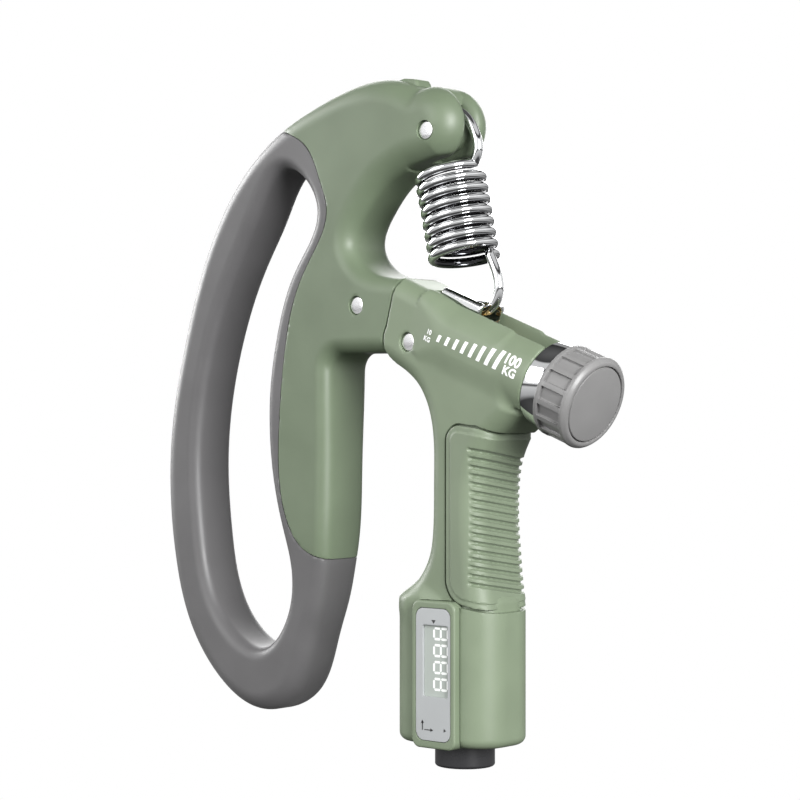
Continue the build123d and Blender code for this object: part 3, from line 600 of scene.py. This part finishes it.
# threaded load screw
pitch = 2.0
length = KNOB_START + 7 - 9.8
count = 48
steps = int(length / pitch * 12)
verts = []
for k in range(steps + 1):
    h = length * k / steps
    for i in range(count):
        a = 2 * math.pi * i / count
        phase = (h / pitch - a / (2 * math.pi)) % 1
        r = 3.0 - 0.62 * abs(2 * phase - 1)**1.2
        verts.append(Vector((r * math.cos(a), r * math.sin(a), h)))
faces = ring_faces(steps, count) + [tuple(range(count))[::-1]]
place = facing(on_barrel(9.8), AXIS)
add_mesh("threaded_screw", [place @ v for v in verts], faces, "knob", steel, "steel", ["load_screw"],
         smooth=60)


def stirrup_field(x, y, z):
    along, above = barrel_frame(x, z)
    side = np.abs(y)
    outer = round_and(round_and(side - 4.9, above - 12.1, 1.5), np.abs(along - 10.15) - 6.75, 0.35)
    inner = round_and(side - 3.9, above - 11.1, 0.7)
    body = cut(np.maximum(outer, 4.3 - above), inner, 0.15)
    return cut(body, np.maximum(np.maximum(side - 3.3, 13.6 - along), 10 - above), 0.3)


def nut_field(x, y, z):
    along, above = barrel_frame(x, z)
    block = round_and(np.abs(y) - 3.9, np.abs(above + 0.325) - 5.925, 0.4)
    block = round_and(block, np.abs(along - 14.1) - 4.4, 0.35)
    return cut(block, np.hypot(above, y) - 3.1, 0.3)


moulded("pull_stirrup", stirrup_field, (-9, -5.6, 48), (18, 5.6, 64), 0.28,
        "carriage", chrome, "chrome", ["carriage_stirrup"])
moulded("brass_nut", nut_field, (-6, -4.6, 30), (14, 4.6, 55), 0.35,
        "carriage", brass, "brass", ["carriage_nut"])

# ---- main spring: one wire from the pin's hook, down the coil, to the stirrup's hook ----------------

down = np.array([COIL_BOTTOM[0] - COIL_TOP[0], COIL_BOTTOM[1] - COIL_TOP[1]])
coil_length = np.linalg.norm(down)
down = down / coil_length
t = np.linspace(0, 1, COIL_TURNS * 40 + 1)
out = COIL_R * np.cos(2 * math.pi * COIL_TURNS * t)
aside = -COIL_R * np.sin(2 * math.pi * COIL_TURNS * t)
coil = np.c_[COIL_TOP[0] + down[0] * coil_length * t - down[1] * out, aside,
             COIL_TOP[1] + down[1] * coil_length * t + down[0] * out]
upper = [(-11.4, 0, 98.2), (-9.5, 0, 102.4), (-5.2, 0, 104.1), (-0.9, 0, 103.0), (3.0, 0, 98.4),
         (4.2, 0, 93.0)]
lower = [(9.7, 0, 63.4), (11.0, 0, 59.0), (10.1, 0, 54.9), (7.4, 0, 52.5), (4.2, 0, 52.7)]
top_bend = spline(upper + [tuple(coil[0])], step=0.5)[:-1]
first_turn = len(top_bend)
path = np.vstack([top_bend, coil, spline([tuple(coil[-1])] + lower, step=0.5)[1:]])
verts, faces = tube(path, WIRE_R, WIRE_SIDES)
spring = add_mesh("coil_spring", verts, faces, "spring", wire_chrome, "chrome", ["main_spring"], smooth=60)
# how far each point of the wire faces away from the coil's axis, for the shade painted into the gaps between
# turns
axis = np.array([down[0], 0, down[1]])
centre = np.array([COIL_TOP[0], 0, COIL_TOP[1]])
off_axis = path - centre
off_axis -= (off_axis @ axis)[:, None] * axis
off_axis /= np.linalg.norm(off_axis, axis=1)[:, None]
off_wire = np.array(verts).reshape(len(path), WIRE_SIDES, 3) - path[:, None]
outer_side = (off_wire * off_axis[:, None]).sum(2) / np.linalg.norm(off_wire, axis=2)
on_coil = (np.arange(len(path)) > first_turn) & (np.arange(len(path)) < first_turn + len(coil) - 1)
outer_side[~on_coil] = 1
shade = spring.data.attributes.new("outer_side", "FLOAT", "POINT")
shade.data.foreach_set("value", outer_side.ravel().astype(np.float32))

# The spring swings about the head pin to keep pointing at the stirrup, and its coil stretches.
head = Vector((HEAD_PIN[0], 0, HEAD_PIN[1])) * 0.001
hook = Vector((STIRRUP_HOOK[0], 0, STIRRUP_HOOK[1])) * 0.001
aim = (hook - head).to_track_quat("-Z", "Y").to_matrix().to_4x4()


def marker(name, body, spot):
    """An empty on a body, aimed down the spring, for a constraint or a modifier to follow."""
    empty = bpy.data.objects.new(name, None)
    bpy.context.scene.collection.objects.link(empty)
    empty.matrix_world = Matrix.Translation(spot) @ aim
    bpy.context.view_layer.update()
    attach(empty, body)
    return empty


spring_top = marker("spring_top", "spring", head)
spring_aim = marker("spring_aim", "carriage", hook)
spring_foot = marker("spring_foot", "carriage", hook)
bpy.context.view_layer.update()
spring.parent = spring_top
spring.matrix_parent_inverse = spring_top.matrix_world.inverted()
reach = spring.vertex_groups.new(name="reach")
# the coil takes most of the stretch, and the leg down to the lower hook takes the rest
share = np.interp(np.arange(len(path)) - first_turn, [0, len(coil) - 1, len(coil) + 12], [0, 0.55, 1])
for k, w in enumerate(share):
    reach.add(list(range(k * WIRE_SIDES, (k + 1) * WIRE_SIDES)), float(w), "REPLACE")
stretch = spring.modifiers.new("reach", "HOOK")
stretch.object, stretch.vertex_group, stretch.falloff_type = spring_foot, "reach", "NONE"
stretch.matrix_inverse = spring_foot.matrix_world.inverted()
track = spring_top.constraints.new("DAMPED_TRACK")
track.target, track.track_axis = spring_aim, "TRACK_NEGATIVE_Z"
turn_with = spring_foot.constraints.new("COPY_ROTATION")
turn_with.target = spring_top

# ---- counter --------------------------------------------------------------------------------------


def pedestal_field(x, y, z):
    block = round_and(box(x - 0.2, z + 39.1, 7.0, 18.5, 2.3), -13.0 - y, 0.5)
    block = np.maximum(block, y + 8.4)
    block = cut(block, np.maximum(box(x - 0.2, z + 39, 5.75, 16.75, 2.4), y + 12.2), 0.2)
    return cut(block, np.maximum(box(x - 0.9, z + 36.3, 4.7, 10.2, 0.3), y + 9), 0.1)


def plate_field(x, y, z):
    sheet = np.maximum(round_and(box(x - 0.2, z + 39, 5.6, 16.6, 2.3), -12.92 - y, 0.15), y + 12.2)
    return cut(sheet, box(x - 0.9, z + 35.6, 4.1, 9.0, 0.5), 0.12)


moulded("counter_pedestal", pedestal_field, (-8, -13.8, -58.6), (8.4, -7.6, -19.6), 0.33,
        "grip_handle", green, "green_shell", ["counter_bezel"])
moulded("label_plate", plate_field, (-6.4, -13.6, -57.4), (6.8, -11.4, -21.4), 0.3,
        "grip_handle", silver, "plate_silver", ["display_plate"])


def screen_field(x, y, z):
    pane = round_and(box(x - 0.9, z + 36.3, 4.6, 10.1, 0.3), -12.16 - y, 0.1)
    return np.maximum(pane, y + 11.2)


moulded("lcd_screen", screen_field, (-4.6, -12.9, -47.4), (6.4, -10.4, -25.2), 0.3,
        "grip_handle", lcd, "lcd_face", ["lcd_panel"])


def flat_pieces(name, shapes, y, thick, body, material, slot):
    """Thin raised shapes on a plane facing -Y, each shape a list of (x, z) corners."""
    verts, faces = [], []
    for shape in shapes:
        base, n = len(verts), len(shape)
        verts += [(px, y, pz) for px, pz in shape] + [(px, y + thick, pz) for px, pz in shape]
        after = shape[1:] + shape[:1]
        area = sum(a[0] * b[1] - b[0] * a[1] for a, b in zip(shape, after))
        order = list(range(n)) if area > 0 else list(range(n))[::-1]
        faces.append(tuple(base + i for i in order))
        for i, j in zip(order, order[1:] + order[:1]):
            faces.append((base + j, base + i, base + n + i, base + n + j))
    return add_mesh(name, verts, faces, body, material, slot, smooth=20)


# four digits, turned a quarter to read down the window, each an 8 of seven bars
def bar(cx, cz, half_long, half_thin, upright):
    """A segment with pointed ends."""
    a, b = half_long, half_thin
    shape = [(-a, 0), (-a + b, -b), (a - b, -b), (a, 0), (a - b, b), (-a + b, b)]
    return [(cx + (q if upright else p), cz + (p if upright else q)) for p, q in shape]


segments = []
for row in range(4):
    cz = -28.75 - row * 4.23
    for k in (-1, 0, 1):
        segments.append(bar(2.15 + k * 2.2, cz, 1.15, 0.3, True))
    for k in (-1, 1):
        for side in (-1, 1):
            segments.append(bar(2.15 + k * 1.1, cz + side * 1.35, 1.02, 0.3, False))
flat_pieces("lcd_digits", segments, -12.20, 0.03, "grip_handle", segment, "lcd_face")
flat_pieces("label_marks", [
    [(-0.3, -25.3), (1.1, -25.3), (0.4, -26.2)],
    [(-3.4, -53.1), (-3.1, -53.1), (-3.1, -50.9), (-3.4, -50.9)],
    [(-3.75, -51.4), (-3.25, -50.5), (-2.75, -51.4)],
    [(-2.6, -53.1), (-0.4, -53.1), (-0.4, -52.85), (-2.6, -52.85)],
    [(-0.6, -53.4), (-0.6, -52.5), (0.3, -52.97)],
    [(3.7, -52.2), (4.5, -52.7), (3.7, -53.2)]], -12.95, 0.04, "grip_handle", black_ink, "plate_silver")

def cover_field(x, y, z):
    lid = round_and(box(x - LID_X, z - LID_Z, 7.0, 11.0, 2.0), y - 11.0, 0.25)
    lid = np.maximum(lid, 9.4 - y)
    groove = np.abs(np.mod(z - LID_Z, 1.7) - 0.85) - 0.38
    area = box(x - LID_X, z + 29.5, 4.8, 4.25, 1.2)
    lid = cut(lid, np.maximum(np.maximum(groove, area), 10.55 - y), 0.18)
    sink = np.hypot(x - LID_X, z - LID_SCREW_Z)
    return cut(lid, np.minimum(sink - 1.55, np.maximum(sink - 2.5, 10.6 - y)), 0.12)


def screw_field(x, y, z):
    sink = np.hypot(x - LID_X, z - LID_SCREW_Z)
    head = round_and(np.maximum(sink - 1.5, 9.4 - y), y - 10.75, 0.3)
    arms = np.minimum(np.maximum(np.abs(x - LID_X) - 0.22, np.abs(z - LID_SCREW_Z) - 1.05),
                      np.maximum(np.abs(z - LID_SCREW_Z) - 0.22, np.abs(x - LID_X) - 1.05))
    head = cut(head, np.maximum(arms, 10.15 - y), 0.06)
    return np.minimum(head, np.maximum(sink - 0.88, np.maximum(6.1 - y, y - 9.6)))


def cap_field(x, y, z):
    r = np.hypot(x, y)
    body = round_and(round_and(r - CAP_R, CAP_BOTTOM - z, 0.7), z - CAP_TOP, 0.15)
    body = cut(body, np.maximum(r - 5.0, z - CAP_BOTTOM - 0.55), 0.35)
    return cut(body, np.maximum(np.maximum(np.abs(y) - 0.7, r - 4.2), z - CAP_BOTTOM - 1.35), 0.12)


moulded("back_lid", cover_field, (-8.7, 8.6, -46.6), (6.9, 11.9, -22.6), 0.24,
        "grip_handle", green, "green_shell", ["battery_cover"])
moulded("lid_screw", screw_field, (-2.8, 5.4, -44.9), (1.0, 11.5, -41.1), 0.12,
        "grip_handle", steel, "steel", ["cover_screw"])
moulded("reset_cap", cap_field,
        (-CAP_R - 1, -CAP_R - 1, CAP_BOTTOM - 1), (CAP_R + 1, CAP_R + 1, CAP_TOP + 1), 0.24,
        "reset_knob", black, "black_trim", ["reset_knob"])

# ---- printed load scale ---------------------------------------------------------------------------


def printed(name, verts, faces, lift=0.07):
    """Ink laid on the front of the handle: points in the XZ plane dropped along Y onto the shell."""
    p = np.array(verts, float)
    y = np.full(len(p), -14.0)
    for _ in range(60):
        y += 0.9 * np.maximum(handle_body(p[:, 0], y, p[:, 1]), 0)
    return add_mesh(name, np.c_[p[:, 0], y - lift, p[:, 1]], faces, "grip_handle", white_ink, "green_shell")


def patch(corners, rows):
    """A four-sided patch split into rows, so that it bends with the surface."""
    a, b, c, d = (np.array(q, float) for q in corners)
    t = np.linspace(0, 1, rows + 1)[:, None]
    verts = np.vstack([a + (d - a) * t, b + (c - b) * t])
    return verts, [(i, rows + 1 + i, rows + 2 + i, i + 1) for i in range(rows)]


def scale_point(along, above):
    """A point on the front of the barrel in the XZ plane."""
    return (BARREL[0] + along * AXIS[0] - above * AXIS[2], BARREL[1] + along * AXIS[2] + above * AXIS[0])


bars, bar_faces = [], []
for k in range(8):
    s, high, wide = 11.6 + 2.76 * k, 1.85 + 0.45 * k, 0.5 + 0.02 * k
    lean = 0.18 * high
    foot = [scale_point(s - wide, 0.1), scale_point(s + wide, 0.1)]
    top = [scale_point(s + wide + lean, 0.1 + high), scale_point(s - wide + lean, 0.1 + high)]
    verts, faces = patch(foot + top, 8)
    bar_faces += [tuple(len(bars) + i for i in f) for f in faces]
    bars += verts.tolist()
printed("scale_bars", bars, bar_faces)


def lettering(name, text, along, above, height, wide=1.0):
    """Generic scale figures printed on the barrel, level with its axis, centred at that point."""
    curve = bpy.data.curves.new(name, "FONT")
    curve.body, curve.align_x, curve.align_y = text, "CENTER", "CENTER"
    curve.size, curve.offset, curve.resolution_u = 1.0, 0.035, 3
    obj = bpy.data.objects.new(name, curve)
    bpy.context.scene.collection.objects.link(obj)
    mesh = bpy.data.meshes.new_from_object(obj.evaluated_get(bpy.context.evaluated_depsgraph_get()))
    bpy.data.objects.remove(obj)
    fine = bmesh.new()
    fine.from_mesh(mesh)
    bmesh.ops.triangulate(fine, faces=fine.faces)
    bmesh.ops.subdivide_edges(fine, edges=fine.edges, cuts=3, use_grid_fill=True)
    fine.to_mesh(mesh)
    fine.free()
    scale = height / 0.72
    points = [scale_point(along + v.co.x * scale * wide, above + v.co.y * scale) for v in mesh.vertices]
    printed(name, points, [tuple(f.vertices) for f in mesh.polygons])


lettering("scale_low_figure", "10", 8.0, 1.4, 1.25)
lettering("scale_low_unit", "KG", 7.9, -0.5, 1.25)
lettering("scale_high_figure", "100", 35.3, 3.7, 2.5)
lettering("scale_high_unit", "KG", 35.7, 0.9, 2.2)

# ---- carried-over pieces --------------------------------------------------------------------------

plain = {
    steel: ["tongue_plate", "count_magnet", "coin_cell", "reset_spring"],
    nylon: ["spring_bush", "screw_bearing"],
    dark: ["contact_strips", "battery_holder", "reed_switch", "reset_switch", "reset_stem"],
    board: ["circuit_board"],
}
for finish, names in plain.items():
    for name in names:
        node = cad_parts[name]
        node.data.materials.clear()
        node.data.materials.append(finish)

# ---- camera and light -----------------------------------------------------------------------------

camera = bpy.data.objects.new("camera", bpy.data.cameras.new("camera"))
camera.location = (0.361444, -0.441059, 0.029835)
camera.rotation_euler = (math.radians(90), 0, math.radians(41))
camera.data.lens, camera.data.sensor_width = 100.6, 36
camera.data.clip_start = 0.01
bpy.context.scene.collection.objects.link(camera)
bpy.context.scene.camera = camera

bpy.context.scene.view_settings.view_transform = "Standard"

world = bpy.data.worlds.new("studio")
bpy.context.scene.world = world
world.use_nodes = True
nodes, links = world.node_tree.nodes, world.node_tree.links
where, split, ramp = (nodes.new(f"ShaderNode{k}") for k in ("TexCoord", "SeparateXYZ", "ValToRGB"))
lift = nodes.new("ShaderNodeMapRange")
lift.inputs["From Min"].default_value = -1
links.new(where.outputs["Generated"], split.inputs["Vector"])
links.new(split.outputs["Z"], lift.inputs["Value"])
links.new(lift.outputs["Result"], ramp.inputs["Fac"])
ramp.color_ramp.elements[0].color = (0.10, 0.10, 0.10, 1)
ramp.color_ramp.elements[1].color = (0.12, 0.12, 0.12, 1)
# dark bands between the bright ones give the chrome its contrast
for at, level in ((0.24, 0.06), (0.30, 0.45), (0.44, 0.70), (0.47, 0.10), (0.49, 0.10), (0.51, 1.0),
                  (0.74, 1.0), (0.76, 0.04), (0.80, 0.04), (0.82, 0.70), (0.90, 0.70), (0.92, 0.05)):
    ramp.color_ramp.elements.new(at).color = (level, level, level, 1)
links.new(ramp.outputs["Color"], nodes["Background"].inputs["Color"])
# the light of the surroundings is weaker behind the object, on its left
behind, fall = nodes.new("ShaderNodeVectorMath"), nodes.new("ShaderNodeMapRange")
behind.operation = "DOT_PRODUCT"
behind.inputs[1].default_value = (-0.656, 0.755, 0)
links.new(where.outputs["Generated"], behind.inputs[0])
links.new(behind.outputs["Value"], fall.inputs["Value"])
for name, level in (("From Min", -0.1), ("From Max", 0.75), ("To Min", 0.92), ("To Max", 0.40)):
    fall.inputs[name].default_value = level
links.new(fall.outputs["Result"], nodes["Background"].inputs["Strength"])

bpy.ops.mesh.primitive_uv_sphere_add(radius=4, segments=48, ring_count=24)
backdrop = bpy.context.object
backdrop.name = "backdrop"
paper = bpy.data.materials.new("backdrop_white")
paper.use_nodes = True
paper.node_tree.nodes.remove(paper.node_tree.nodes["Principled BSDF"])
glow = paper.node_tree.nodes.new("ShaderNodeEmission")
glow.inputs["Color"].default_value = (1, 1, 1, 1)
glow.inputs["Strength"].default_value = 1.0
surface = paper.node_tree.nodes["Material Output"].inputs["Surface"]
paper.node_tree.links.new(glow.outputs["Emission"], surface)
backdrop.data.materials.append(paper)
for kind in ("diffuse", "glossy", "transmission", "volume_scatter", "shadow"):
    setattr(backdrop, "visible_" + kind, False)


def area_light(name, spot, size, power):
    """A soft square light at spot (m), aimed at the middle of the object."""
    lamp = bpy.data.lights.new(name, "AREA")
    lamp.shape, lamp.size, lamp.energy = "SQUARE", size, power
    obj = bpy.data.objects.new(name, lamp)
    obj.location = spot
    aim = Vector((-0.02, 0, 0.03)) - obj.location
    obj.rotation_euler = aim.to_track_quat("-Z", "Y").to_euler()
    bpy.context.scene.collection.objects.link(obj)


area_light("key_right", (0.95, -0.35, 0.30), 0.45, 17)
area_light("fill_front", (-0.2, -1.1, 0.5), 0.8, 7)
area_light("rim_left", (-0.95, -0.05, 0.3), 0.5, 9)
area_light("back_fill", (-0.75, 0.95, 0.45), 0.9, 12)
